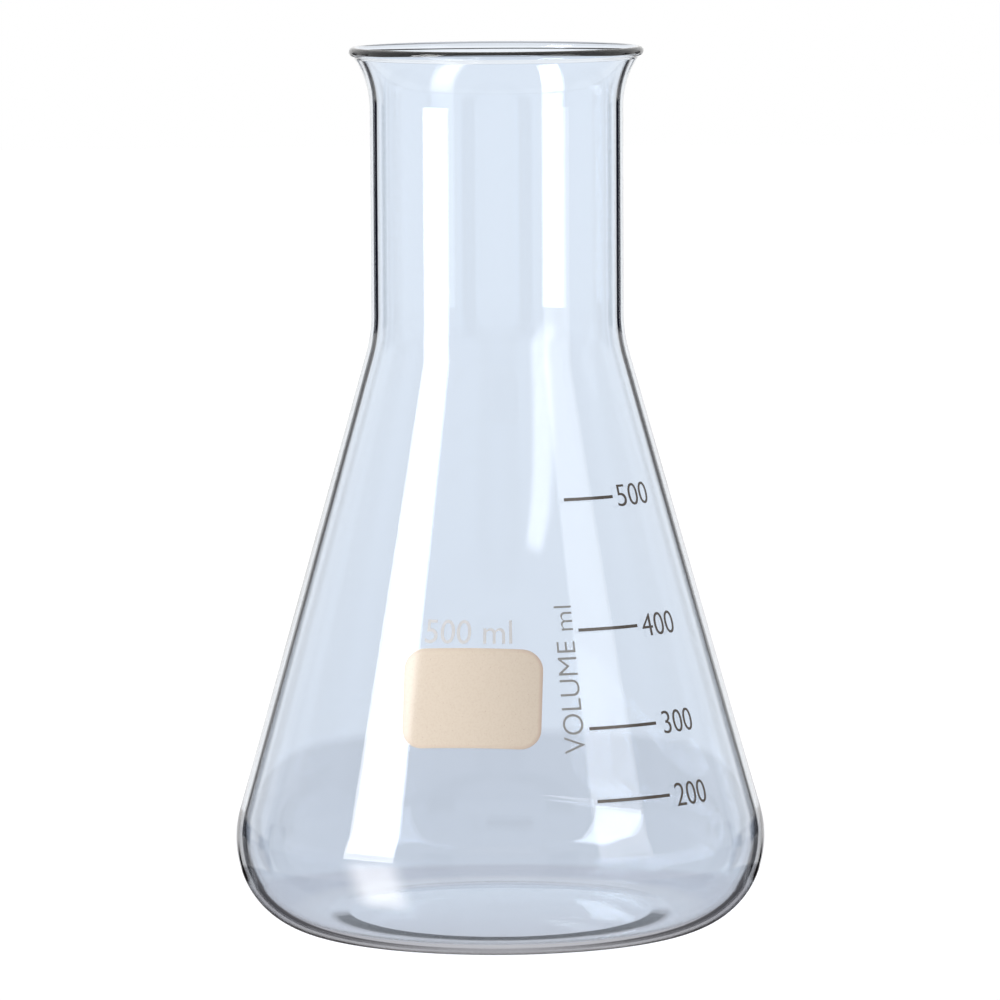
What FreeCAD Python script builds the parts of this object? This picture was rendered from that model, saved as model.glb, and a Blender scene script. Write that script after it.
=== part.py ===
"""A 500 ml wide-necked conical flask, blown in one piece from borosilicate glass.

Millimetres, +Z up, origin at the centre of the foot. The flask is a body of revolution about Z.
The printed side faces -Y. The print is fired enamel: a beige field to write on, and four lines
that mark 200, 300, 400 and 500 ml.
"""
import FreeCAD, Part
import math
import os
from enum import IntEnum, auto
import Sketcher

Vector = FreeCAD.Vector

# Driving dimensions, in millimetres and degrees. Print azimuths count from the printed side.
SIZES = {
    "flask_height": 175.0,
    "body_diameter": 105.0,
    "neck_diameter": 50.0,
    "cone_half_angle": 15.8,
    "heel_radius": 17.0,
    "belly_radius": 21.0,
    "belly_height": 18.3,
    "shoulder_radius": 28.0,
    "flare_radius": 18.0,
    "flare_depth": 12.0,
    "bead_radius": 0.95,
    "bead_fillet": 1.6,
    "side_wall": 1.5,
    "heel_wall": 1.9,
    "base_wall": 2.4,
    "foot_ring_width": 5.0,
    "foot_fillet": 8.0,
    "punt_height": 1.5,
    "enamel_thickness": 0.1,
    "field_axis_height": 38.8,
    "field_azimuth": -7.1,
    "field_width": 27.0,
    "field_height": 19.5,
    "field_corner": 4.0,
    "line_start": 22.2,
    "line_sweep": 19.2,
    "line_width": 0.6,
    "line_200_height": 31.3,
    "line_300_height": 45.0,
    "line_400_height": 63.6,
    "line_500_height": 88.3,
}
MARKED_VOLUMES = (200, 300, 400, 500)

# Azimuth of the middle of the printed side, counted from +X.
PRINTED_SIDE = -90

# The curves of the wall's section in order, from the punt's crown round the outside and back in.
OUTER_CURVES = ("punt", "foot_edge", "foot_ring", "heel", "belly", "cone",
                "shoulder", "neck", "flare", "bead_root", "bead")
INNER_CURVES = ("inner_flare", "bore", "inner_shoulder", "inner_cone",
                "inner_belly", "inner_heel", "inner_dome")
PRINTED_CURVES = ("belly", "cone", "shoulder", "neck")

# Arcs are drawn counter-clockwise, so these run against that order.
BACKWARD_CURVES = ("punt", "shoulder", "flare", "bead_root", "inner_belly", "inner_heel")

CUBIC_MM_PER_ML = 1000


class Axis(IntEnum):
    """The sketch's two axes, as constraints number them."""

    LEVEL = -1
    UPRIGHT = -2


class At(IntEnum):
    """The place on a sketch curve that a constraint holds."""

    START = auto()
    END = auto()
    CENTRE = auto()


def fill_sheet(doc):
    """Put the driving dimensions into a sheet, one alias a row, and return the sheet."""
    sheet = doc.addObject("Spreadsheet::Sheet", "Sizes")
    for row, (alias, value) in enumerate(SIZES.items(), start=1):
        sheet.set(f"A{row}", alias)
        sheet.set(f"B{row}", str(value))
        sheet.setAlias(f"B{row}", alias)
    doc.recompute()
    return sheet


def polar(centre, radius, degrees):
    """The point at a radius and an angle from a centre."""
    angle = math.radians(degrees)
    return centre + Vector(math.cos(angle), math.sin(angle), 0) * radius


def bearing(start, finish):
    """The angle of the line from one point to another, in degrees from 0 to 360."""
    return math.degrees(math.atan2(finish.y - start.y, finish.x - start.x)) % 360


def arc(centre, radius, start_angle, end_angle):
    """A counter-clockwise arc between two angles in degrees."""
    first = math.radians(start_angle)
    turn = math.radians((end_angle - start_angle) % 360)
    return Part.ArcOfCircle(Part.Circle(centre, Vector(0, 0, 1), radius), first, first + turn)


def dome_radius(crown, centre, radius):
    """Radius of a dome, level at its crown on the axis, that touches the circle beside it."""
    drop = centre.y - crown
    return (centre.x ** 2 + drop ** 2 - radius ** 2) / (2 * (radius - drop))


def meeting_point(first, first_radius, second, second_radius):
    """Where two circles meet, on the left of the way from the first centre to the second."""
    gap = first.distanceToPoint(second)
    forward = (second - first) * (1 / gap)
    along = (first_radius ** 2 - second_radius ** 2 + gap ** 2) / (2 * gap)
    aside = math.sqrt(first_radius ** 2 - along ** 2)
    return first + forward * along + Vector(-forward.y, forward.x, 0) * aside


class WallSection:
    """The half section of the glass wall: one closed outline of lines and tangent arcs."""

    def __init__(self, sketch, sheet):
        self.sketch = sketch
        self.sheet = sheet
        self.number = {}

    def draw(self, name, curve):
        """Add a named line or arc."""
        self.number[name] = self.sketch.addGeometry(curve, False)

    def end(self, name, which):
        """Where a named curve starts or ends."""
        return self.sketch.getPoint(self.number[name], which)

    def tie(self, kind, *where):
        """Add a constraint without a size. Names of curves stand for their numbers."""
        numbers = [self.number.get(item, item) for item in where]
        self.sketch.addConstraint(Sketcher.Constraint(kind, *numbers))

    def size(self, kind, label, expression, *where):
        """Add a named constraint whose size is an expression of the sheet's aliases."""
        value = self.sketch.evalExpression(expression)
        drawn = math.radians(value.Value) if kind == "Angle" else float(value)
        numbers = [self.number.get(item, item) for item in where]
        index = self.sketch.addConstraint(Sketcher.Constraint(kind, *numbers, drawn))
        self.sketch.renameConstraint(index, label)
        self.sketch.setExpression(f"Constraints.{label}", expression)

    def draw_outside(self):
        """Draw the outer wall, from the punt's crown under the base up to the bead of the rim."""
        size = self.sheet
        neck = size.neck_diameter / 2
        slope = size.cone_half_angle
        blend = size.belly_radius - size.heel_radius
        self.belly = Vector(size.body_diameter / 2 - size.belly_radius, size.belly_height, 0)
        self.blend_angle = -math.degrees(math.asin((size.belly_height - size.heel_radius) / blend))
        self.heel = polar(self.belly, blend, self.blend_angle)
        foot = Vector(self.heel.x - size.foot_ring_width, size.foot_fillet, 0)
        punt = dome_radius(size.punt_height, foot, size.foot_fillet)
        punt_centre = Vector(0, size.punt_height - punt, 0)
        punt_edge = bearing(punt_centre, foot)
        cone_foot = polar(self.belly, size.belly_radius, slope)
        # The shoulder's centre stands outside, one radius off the neck and off the cone.
        lean = math.radians(slope)
        reach = neck + size.shoulder_radius
        across = cone_foot.x * math.cos(lean) + cone_foot.y * math.sin(lean) + size.shoulder_radius
        rise = (across - reach * math.cos(lean)) / math.sin(lean)
        self.shoulder = Vector(reach, rise, 0)
        cone_top = polar(self.shoulder, size.shoulder_radius, 180 + slope)
        self.flare = Vector(neck + size.flare_radius, size.flask_height - size.flare_depth, 0)
        self.bead = self.bead_centre()
        root = meeting_point(self.flare, size.flare_radius - size.bead_fillet,
                             self.bead, size.bead_radius + size.bead_fillet)
        root_bearing = bearing(self.flare, root)

        self.draw("punt", arc(punt_centre, punt, punt_edge, 90))
        self.draw("foot_edge", arc(foot, size.foot_fillet, bearing(foot, punt_centre), 270))
        self.draw("foot_ring", Part.LineSegment(Vector(foot.x, 0, 0), Vector(self.heel.x, 0, 0)))
        self.draw("heel", arc(self.heel, size.heel_radius, 270, self.blend_angle))
        self.draw("belly", arc(self.belly, size.belly_radius, self.blend_angle, slope))
        self.draw("cone", Part.LineSegment(cone_foot, cone_top))
        self.draw("shoulder", arc(self.shoulder, size.shoulder_radius, 180, 180 + slope))
        self.draw("neck", Part.LineSegment(Vector(neck, rise, 0), Vector(neck, self.flare.y, 0)))
        self.draw("flare", arc(self.flare, size.flare_radius, root_bearing, 180))
        self.draw("bead_root", arc(root, size.bead_fillet, bearing(root, self.bead), root_bearing))
        self.draw("bead", arc(self.bead, size.bead_radius, bearing(self.bead, root),
                              bearing(self.flare, self.bead)))

    def bead_centre(self):
        """The rim's bead is level with the top, and its inner side runs on into the flare's."""
        size = self.sheet
        height = size.flask_height - size.bead_radius
        away = size.flare_radius + size.side_wall - size.bead_radius
        return Vector(self.flare.x - math.sqrt(away ** 2 - (height - self.flare.y) ** 2), height, 0)

    def draw_inside(self):
        """Draw the inner wall, from the bead down to the crown of the base, and the axis."""
        size = self.sheet
        wall = size.side_wall
        bore = size.neck_diameter / 2 - wall
        slope = size.cone_half_angle
        heel = size.heel_radius - size.heel_wall
        belly = size.belly_radius - wall
        # The inner belly's centre lies off the heel's so that its arc meets the cone's inner wall.
        normal = polar(Vector(), 1, slope)
        cone_gap = (self.belly - self.heel).dot(normal)
        spread = belly - heel
        upward = Vector(-normal.y, normal.x, 0)
        inner_belly = self.heel + normal * cone_gap + upward * math.sqrt(spread ** 2 - cone_gap ** 2)
        blend_angle = bearing(inner_belly, self.heel)
        crown = size.punt_height + size.base_wall
        dome = dome_radius(crown, self.heel, heel)
        dome_centre = Vector(0, crown - dome, 0)
        dome_edge = bearing(dome_centre, self.heel)
        flare_edge = bearing(self.flare, self.bead)
        shoulder = size.shoulder_radius + wall

        self.draw("inner_flare", arc(self.flare, size.flare_radius + wall, flare_edge, 180))
        self.draw("bore", Part.LineSegment(Vector(bore, self.flare.y, 0), Vector(bore, self.shoulder.y, 0)))
        self.draw("inner_shoulder", arc(self.shoulder, shoulder, 180, 180 + slope))
        self.draw("inner_cone", Part.LineSegment(polar(self.shoulder, shoulder, 180 + slope),
                                                 polar(inner_belly, belly, slope)))
        self.draw("inner_belly", arc(inner_belly, belly, blend_angle, slope))
        self.draw("inner_heel", arc(self.heel, heel, bearing(self.heel, dome_centre), blend_angle))
        self.draw("inner_dome", arc(dome_centre, dome, dome_edge, 90))
        self.draw("axis", Part.LineSegment(Vector(0, crown, 0), Vector(0, size.punt_height, 0)))

    def constrain(self):
        """Join the curves end to end and tie their sizes to the sheet."""
        outline = OUTER_CURVES + INNER_CURVES
        for before, after in zip(outline, outline[1:]):
            leaving = At.START if before in BACKWARD_CURVES else At.END
            entering = At.END if after in BACKWARD_CURVES else At.START
            self.tie("Tangent", before, leaving, after, entering)
        self.tie("Coincident", "inner_dome", At.END, "axis", At.START)
        self.tie("Coincident", "axis", At.END, "punt", At.END)
        self.tie("PointOnObject", "axis", At.START, Axis.UPRIGHT)
        self.tie("PointOnObject", "axis", At.END, Axis.UPRIGHT)
        self.tie("PointOnObject", "punt", At.CENTRE, Axis.UPRIGHT)
        self.tie("PointOnObject", "inner_dome", At.CENTRE, Axis.UPRIGHT)
        self.tie("PointOnObject", "foot_ring", At.START, Axis.LEVEL)
        self.tie("Horizontal", "foot_ring")
        self.tie("Vertical", "neck")
        self.tie("Vertical", "bore")
        self.tie("Parallel", "cone", "inner_cone")
        for name in ("shoulder", "flare", "heel"):
            self.tie("Coincident", f"inner_{name}", At.CENTRE, name, At.CENTRE)

        for name in ("heel", "belly", "shoulder", "flare"):
            self.size("Radius", f"{name}_arc", f"Sizes.{name}_radius", name)
        self.size("Radius", "bead_arc", "Sizes.bead_radius", "bead")
        self.size("Radius", "bead_root_arc", "Sizes.bead_fillet", "bead_root")
        self.size("Radius", "foot_edge_arc", "Sizes.foot_fillet", "foot_edge")
        self.size("Radius", "inner_heel_arc", "Sizes.heel_radius - Sizes.heel_wall", "inner_heel")
        self.size("Radius", "inner_belly_arc", "Sizes.belly_radius - Sizes.side_wall", "inner_belly")
        self.size("Angle", "cone_lean", "90 deg + Sizes.cone_half_angle * 1 deg", "cone")
        self.size("DistanceX", "neck_reach", "Sizes.neck_diameter / 2", "neck", At.START)
        self.size("DistanceX", "bore_reach", "Sizes.neck_diameter / 2 - Sizes.side_wall", "bore", At.START)
        self.size("DistanceX", "belly_reach", "Sizes.body_diameter / 2 - Sizes.belly_radius",
                  "belly", At.CENTRE)
        self.size("DistanceY", "belly_rise", "Sizes.belly_height", "belly", At.CENTRE)
        self.size("DistanceY", "bead_rise", "Sizes.flask_height - Sizes.bead_radius", "bead", At.CENTRE)
        self.size("DistanceY", "flare_rise", "Sizes.flask_height - Sizes.flare_depth", "flare", At.CENTRE)
        self.size("DistanceY", "punt_rise", "Sizes.punt_height", "axis", At.END)
        self.size("DistanceY", "crown_rise", "Sizes.punt_height + Sizes.base_wall", "axis", At.START)
        self.size("Distance", "foot_ring_reach", "Sizes.foot_ring_width", "foot_ring")

    def wire(self, names):
        """The named curves as edges of one wire, standing in the flask's own X-Z plane."""
        edges = [self.sketch.Geometry[self.number[name]].toShape() for name in names]
        return Part.Wire(edges).transformed(self.sketch.Placement.Matrix)


def make_flask_body(doc, sheet):
    """The glass: its wall's half section, revolved about the axis. Returns the body and section."""
    body = doc.addObject("PartDesign::Body", "FlaskBody")
    body.Label = "flask_body"
    sketch = body.newObject("Sketcher::SketchObject", "WallSection")
    upright_plane = next(item for item in body.Origin.OriginFeatures if item.Role == "XZ_Plane")
    sketch.AttachmentSupport = [(upright_plane, "")]
    sketch.MapMode = "FlatFace"
    section = WallSection(sketch, sheet)
    section.draw_outside()
    section.draw_inside()
    section.constrain()
    revolution = body.newObject("PartDesign::Revolution", "BlownWall")
    revolution.Profile = sketch
    revolution.ReferenceAxis = (sketch, ["V_Axis"])
    revolution.Angle = 360
    doc.recompute()
    return body, section


def make_enamel_coat(doc, section):
    """A ring of enamel all round the outer wall, from which the print is taken."""
    wall = doc.addObject("Part::Feature", "PrintedWall")
    wall.Shape = section.wire(PRINTED_CURVES)
    band = doc.addObject("Part::Offset2D", "EnamelBand")
    band.Source = wall
    band.Mode = "Skin"
    band.Fill = True
    # The wire runs upwards, so a negative offset is outwards.
    band.setExpression("Value", "-Sizes.enamel_thickness")
    coat = doc.addObject("Part::Revolution", "EnamelCoat")
    coat.Source = band
    coat.Axis = (0, 0, 1)
    coat.Base = (0, 0, 0)
    coat.Angle = 360
    coat.Solid = True
    return coat


def make_sector(doc, name, start, sweep, bottom, height):
    """A wedge about the axis, wider than the flask, whose azimuths and heights are expressions."""
    sector = doc.addObject("Part::Cylinder", name)
    sector.Placement = FreeCAD.Placement(Vector(), FreeCAD.Rotation(Vector(0, 0, 1), PRINTED_SIDE))
    sector.setExpression("Radius", "Sizes.body_diameter")
    sector.setExpression("Angle", sweep)
    sector.setExpression("Height", height)
    sector.setExpression("Placement.Base.z", bottom)
    sector.setExpression("Placement.Rotation.Angle", f"{PRINTED_SIDE} deg + {start} * 1 deg")
    return sector


def make_marking_field(doc, sheet, coat):
    """The beige field to write on: where a rounded block, square to the cone, meets the coat."""
    turn = FreeCAD.Rotation(PRINTED_SIDE + sheet.field_azimuth, -sheet.cone_half_angle, 0)
    outwards = turn.multVec(Vector(1, 0, 0))
    corner = turn.multVec(Vector(0, -sheet.field_width / 2, -sheet.field_height / 2))
    block = doc.addObject("Part::Box", "FieldBlock")
    block.setExpression("Length", "Sizes.body_diameter")
    block.setExpression("Width", "Sizes.field_width")
    block.setExpression("Height", "Sizes.field_height")
    block.Placement = FreeCAD.Placement(Vector(0, 0, sheet.field_axis_height) + corner, turn)
    doc.recompute()
    rounded = doc.addObject("Part::Fillet", "RoundedFieldBlock")
    rounded.Base = block
    corners = [number for number, edge in enumerate(block.Shape.Edges, start=1)
               if round(abs(edge.Curve.Direction.dot(outwards)), 6) == 1]
    rounded.Edges = [(number, sheet.field_corner, sheet.field_corner) for number in corners]
    field = doc.addObject("Part::Common", "MarkingField")
    field.Label = "marking_field"
    field.Base = coat
    field.Tool = rounded
    return field


def make_scale_lines(doc, coat):
    """The four short lines of the scale, one for each marked volume."""
    sectors = [
        make_sector(doc, f"LineSector{volume}", "Sizes.line_start", "Sizes.line_sweep * 1 deg",
                    f"Sizes.line_{volume}_height - Sizes.line_width / 2", "Sizes.line_width")
        for volume in MARKED_VOLUMES
    ]
    cutters = doc.addObject("Part::MultiFuse", "LineSectors")
    cutters.Shapes = sectors
    lines = doc.addObject("Part::Common", "ScaleLines")
    lines.Label = "scale_lines"
    lines.Base = coat
    lines.Tool = cutters
    return lines


def make_cavity(section):
    """The space inside the glass up to the bead, as a solid for measuring volumes."""
    wall = section.wire(INNER_CURVES)
    rim = section.end("inner_flare", At.START)
    crown = section.end("inner_dome", At.END)
    lid = Part.makePolygon([Vector(0, 0, crown.y), Vector(0, 0, rim.y), Vector(rim.x, 0, rim.y)])
    outline = Part.Wire(Part.__sortEdges__(wall.Edges + lid.Edges))
    return Part.Face(outline).revolve(Vector(), Vector(0, 0, 1), 360)


def print_volumes(sheet, section):
    """Print how much the flask holds up to each line of the scale."""
    cavity = make_cavity(section)
    for volume in MARKED_VOLUMES:
        height = sheet.get(f"line_{volume}_height")
        held = cavity.common(Part.makeCylinder(sheet.body_diameter, height)).Volume / CUBIC_MM_PER_ML
        print(f"the {volume} ml line stands at {height} mm, where the cavity holds {held:.0f} ml")


def check(doc, pieces):
    """Stop if any object of the document failed or any piece is missing or broken."""
    for item in doc.Objects:
        if "Invalid" in item.State or "Error" in item.State:
            raise RuntimeError(f"{item.Name} failed: {item.State}")
    for piece in pieces:
        if piece.Shape.isNull() or not piece.Shape.isValid() or not piece.Shape.Solids:
            raise RuntimeError(f"{piece.Label} has no valid solid")


def main():
    """Build the flask and its print, check them, and write one file for each piece."""
    doc = FreeCAD.newDocument("ConicalFlask")
    sheet = fill_sheet(doc)
    body, section = make_flask_body(doc, sheet)
    coat = make_enamel_coat(doc, section)
    pieces = [body, make_marking_field(doc, sheet, coat), make_scale_lines(doc, coat)]
    doc.recompute()
    check(doc, pieces)
    os.makedirs("parts", exist_ok=True)
    for piece in pieces:
        piece.Shape.exportStep(f"parts/{piece.Label}.step")
        print(f"{piece.Label}: {len(piece.Shape.Solids)} solid(s), {piece.Shape.Volume:.2f} mm3")
    print_volumes(sheet, section)


main()
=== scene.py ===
"""A 500 ml conical flask of clear borosilicate glass with its fired enamel prints.

All lengths are in millimetres until a mesh is written, which is in metres. A bearing is an
angle in degrees to the right of the direction in which the flask faces the camera.
"""

from __future__ import annotations

import logging
import math
from dataclasses import dataclass
from enum import Enum
from typing import Any

import bmesh
import bpy
import numpy as np
from mathutils import Matrix


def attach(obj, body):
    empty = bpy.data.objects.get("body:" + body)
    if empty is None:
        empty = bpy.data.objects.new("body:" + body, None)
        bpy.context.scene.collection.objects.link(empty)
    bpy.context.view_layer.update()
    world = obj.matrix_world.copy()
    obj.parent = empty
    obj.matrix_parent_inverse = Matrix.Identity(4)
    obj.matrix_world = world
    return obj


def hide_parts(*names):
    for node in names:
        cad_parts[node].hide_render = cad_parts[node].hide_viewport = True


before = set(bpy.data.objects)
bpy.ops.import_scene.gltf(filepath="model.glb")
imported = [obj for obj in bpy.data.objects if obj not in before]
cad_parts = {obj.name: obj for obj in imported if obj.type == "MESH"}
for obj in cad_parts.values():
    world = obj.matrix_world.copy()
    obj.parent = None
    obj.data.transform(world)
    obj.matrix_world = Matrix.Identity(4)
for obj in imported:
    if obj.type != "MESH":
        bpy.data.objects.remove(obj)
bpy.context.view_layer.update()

MM = 0.001
BODY = "root"
FRONT_ANGLE = -90.0
EDGE_ATTRIBUTE = "edge"

log = logging.getLogger("conical_flask")


class Slot(Enum):
    """Names of the material slots that stand for the pieces' finishes."""

    GLASS = "glass"
    BEIGE = "beige_enamel"
    DARK = "dark_enamel"


# Meshes


@dataclass(frozen=True)
class Patch:
    """Vertices in millimetres with the faces that join them.

    Attributes:
        points: one row of three coordinates per vertex.
        quads: one row of four vertex numbers per face.
        triangles: one row of three vertex numbers per face.
        normals: one direction per vertex, or None for Blender's own.
    """

    points: np.ndarray
    quads: np.ndarray
    triangles: np.ndarray
    normals: np.ndarray | None = None

    def mesh(self, name: str) -> bpy.types.Mesh:
        """Writes the patch as a smooth Blender mesh in metres.

        Args:
            name: the mesh's name.

        Returns:
            The new mesh.
        """
        mesh = bpy.data.meshes.new(name)
        faces = self.quads.tolist() + self.triangles.tolist()
        mesh.from_pydata((self.points * MM).tolist(), [], faces)
        mesh.polygons.foreach_set("use_smooth", np.ones(len(faces), dtype=bool))
        mesh.update()
        if self.normals is not None:
            mesh.normals_split_custom_set_from_vertices(self.normals.tolist())
        return mesh


def add_object(name: str, data: Any) -> bpy.types.Object:
    """Puts a mesh, text, lamp or camera into the scene and returns its object."""
    added = bpy.data.objects.new(name, data)
    bpy.context.scene.collection.objects.link(added)
    return added


def add_piece(name: str, mesh: bpy.types.Mesh, material: bpy.types.Material, slot: Slot,
              *nodes: str) -> bpy.types.Object:
    """Puts a mesh into the scene as a piece that rides on the flask.

    Args:
        name: the piece's name.
        mesh: its mesh, already in place.
        material: its finish.
        slot: not used.
        nodes: the CAD nodes that it replaces.

    Returns:
        The new object.
    """
    piece = add_object(name, mesh)
    mesh.materials.append(material)
    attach(piece, BODY)
    if nodes:
        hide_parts(*nodes)
    log.info("%s: %d vertices, %d faces", name, len(mesh.vertices), len(mesh.polygons))
    return piece


# Nodes


@dataclass(frozen=True)
class NodeBench:
    """Places and joins the nodes of one node tree."""

    tree: bpy.types.NodeTree

    def put(self, kind: str, inputs: dict[Any, Any] | None = None, **settings: Any) -> bpy.types.Node:
        """Places one node.

        Args:
            kind: the node's type.
            inputs: a value, or the socket to join, for each input's name or number.
            settings: the node's own properties.

        Returns:
            The new node.
        """
        node = self.tree.nodes.new(kind)
        for name, value in settings.items():
            setattr(node, name, value)
        for name, value in (inputs or {}).items():
            if isinstance(value, bpy.types.NodeSocket):
                self.tree.links.new(value, node.inputs[name])
            else:
                node.inputs[name].default_value = value
        return node

    def math(self, operation: str, *values: Any) -> bpy.types.NodeSocket:
        """Places one Math node and returns its result."""
        return self.put("ShaderNodeMath", dict(enumerate(values)), operation=operation).outputs[0]

    def smooth_step(self, value: Any, low: Any, high: Any) -> bpy.types.NodeSocket:
        """Places a soft step from 0 at low to 1 at high and returns its result."""
        inputs = {"Value": value, "From Min": low, "From Max": high}
        return self.put("ShaderNodeMapRange", inputs, interpolation_type="SMOOTHSTEP").outputs[0]

    def blend(self, factor: Any, first: Any, second: Any) -> bpy.types.NodeSocket:
        """Places a mix of two colours and returns its result."""
        node = self.put("ShaderNodeMix", data_type="RGBA")
        for place, value in ((0, factor), (6, first), (7, second)):
            if isinstance(value, bpy.types.NodeSocket):
                self.tree.links.new(value, node.inputs[place])
            else:
                node.inputs[place].default_value = value
        return node.outputs[2]


def new_group(name: str, inputs: dict[str, float], outputs: tuple[str, ...]) -> bpy.types.NodeTree:
    """Makes an empty shader node group with named number sockets.

    Args:
        name: the group's name.
        inputs: each input's name and default.
        outputs: each output's name.

    Returns:
        The new group, with its input and output nodes placed.
    """
    group = bpy.data.node_groups.new(name, "ShaderNodeTree")
    for title, value in inputs.items():
        socket = group.interface.new_socket(title, in_out="INPUT", socket_type="NodeSocketFloat")
        socket.default_value = value
    for title in outputs:
        group.interface.new_socket(title, in_out="OUTPUT", socket_type="NodeSocketFloat")
    group.nodes.new("NodeGroupInput").name = "given"
    group.nodes.new("NodeGroupOutput").name = "result"
    return group


def finish_group(group: bpy.types.NodeTree, *sockets: bpy.types.NodeSocket) -> bpy.types.NodeTree:
    """Joins the sockets to the group's outputs, in their order, and returns the group."""
    for socket, result in zip(sockets, group.nodes["result"].inputs):
        group.links.new(socket, result)
    return group


def new_material(name: str) -> tuple[bpy.types.Material, NodeBench, bpy.types.Node]:
    """Makes a material with a Principled shader.

    Args:
        name: the material's name.

    Returns:
        The material, the bench for its nodes, and its Principled shader.
    """
    material = bpy.data.materials.new(name)
    material.use_nodes = True
    material.node_tree.nodes.clear()
    bench = NodeBench(material.node_tree)
    return material, bench, bench.put("ShaderNodeBsdfPrincipled")


@dataclass(frozen=True)
class DrawnSurface:
    """The faint unevenness that drawing and blowing leave in a surface.

    Long shallow waves run with the draw, and fine ripples cross them. The group puts out the
    height of both together, a slow change of tone, and a mask of the faint film of handling.
    """

    name: str = "drawn_surface"
    tone_scale: float = 9.0
    film_scale: float = 34.0
    film_from: float = 0.56
    film_to: float = 0.78

    def make(self) -> bpy.types.NodeTree:
        """Builds the group once.

        Returns:
            The group.
        """
        found = bpy.data.node_groups.get(self.name)
        if found:
            return found
        group = new_group(
            self.name,
            {"Wave Scale": 22.0, "Ripple Scale": 90.0, "Ripple Share": 0.12, "Stretch": 0.35},
            ("Height", "Tone", "Film"),
        )
        bench = NodeBench(group)
        given = group.nodes["given"].outputs
        place = bench.put("ShaderNodeTexCoord").outputs["Object"]
        stretch = bench.put("ShaderNodeCombineXYZ", {0: 1.0, 1: 1.0, 2: given["Stretch"]}).outputs[0]
        drawn = bench.put("ShaderNodeVectorMath", {0: place, 1: stretch}, operation="MULTIPLY")
        drawn = drawn.outputs[0]
        wave_inputs = {"Vector": drawn, "Scale": given["Wave Scale"], "Detail": 1.0}
        wave = bench.put("ShaderNodeTexNoise", wave_inputs)
        ripple_inputs = {"Vector": drawn, "Scale": given["Ripple Scale"], "Detail": 2.0}
        ripple = bench.put("ShaderNodeTexNoise", ripple_inputs)
        ripple_part = bench.math("MULTIPLY", ripple.outputs["Fac"], given["Ripple Share"])
        height = bench.math("ADD", wave.outputs["Fac"], ripple_part)
        tone = bench.put("ShaderNodeTexNoise", {"Vector": place, "Scale": self.tone_scale, "Detail": 0.0})
        film = bench.put("ShaderNodeTexNoise", {"Vector": place, "Scale": self.film_scale, "Detail": 4.0})
        mask = bench.smooth_step(film.outputs["Fac"], self.film_from, self.film_to)
        return finish_group(group, height, tone.outputs["Fac"], mask)


@dataclass(frozen=True)
class FiredGrain:
    """The fine grain and pinholes of an enamel that was screened on and fired.

    The group puts out a mask of the grain, the height of the surface, and a mask of pinholes.
    """

    name: str = "fired_grain"
    hole_edge: float = 0.03
    hole_end: float = 0.10

    def make(self) -> bpy.types.NodeTree:
        """Builds the group once.

        Returns:
            The group.
        """
        found = bpy.data.node_groups.get(self.name)
        if found:
            return found
        group = new_group(
            self.name,
            {"Grain Scale": 2600.0, "Pinhole Scale": 900.0},
            ("Grain", "Height", "Pinholes"),
        )
        bench = NodeBench(group)
        given = group.nodes["given"].outputs
        place = bench.put("ShaderNodeTexCoord").outputs["Object"]
        grain_inputs = {"Vector": place, "Scale": given["Grain Scale"], "Detail": 3.0}
        grain = bench.put("ShaderNodeTexNoise", grain_inputs).outputs["Fac"]
        cells = bench.put("ShaderNodeTexVoronoi", {"Vector": place, "Scale": given["Pinhole Scale"]})
        clear = bench.smooth_step(cells.outputs["Distance"], self.hole_edge, self.hole_end)
        pinholes = bench.math("SUBTRACT", 1.0, clear)
        height = bench.math("SUBTRACT", grain, pinholes)
        return finish_group(group, grain, height, pinholes)


# Finishes


@dataclass(frozen=True)
class ClearGlass:
    """Clear borosilicate glass with a cold tint, which lets the lamps shine through it."""

    name: str = "clear_borosilicate_glass"
    tint: tuple[float, float, float, float] = (0.845, 0.898, 0.965, 1.0)
    second_tint: tuple[float, float, float, float] = (0.856, 0.904, 0.962, 1.0)
    refraction: float = 1.473
    film_roughness: float = 0.02
    wave_depth: float = 0.06
    shadow_tint: tuple[float, float, float, float] = (0.93, 0.95, 0.97, 1.0)

    def make(self) -> bpy.types.Material:
        """Builds the finish.

        Returns:
            The material.
        """
        material, bench, shader = new_material(self.name)
        surface = bench.put("ShaderNodeGroup", node_tree=DrawnSurface().make())
        waves = {"Height": surface.outputs["Height"], "Strength": 1.0, "Distance": self.wave_depth * MM}
        bump = bench.put("ShaderNodeBump", waves)
        colour = bench.blend(surface.outputs["Tone"], self.tint, self.second_tint)
        roughness = bench.math("MULTIPLY", surface.outputs["Film"], self.film_roughness)
        shader.inputs["IOR"].default_value = self.refraction
        shader.inputs["Transmission Weight"].default_value = 1.0
        shader.inputs["Metallic"].default_value = 0.0
        joins = (("Base Color", colour), ("Roughness", roughness), ("Normal", bump.outputs[0]))
        for name, socket in joins:
            bench.tree.links.new(socket, shader.inputs[name])
        path = bench.put("ShaderNodeLightPath")
        clear = bench.put("ShaderNodeBsdfTransparent", {"Color": self.shadow_tint})
        parts = {0: path.outputs["Is Shadow Ray"], 1: shader.outputs[0], 2: clear.outputs[0]}
        mix = bench.put("ShaderNodeMixShader", parts)
        bench.put("ShaderNodeOutputMaterial", {"Surface": mix.outputs[0]})
        return material


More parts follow.
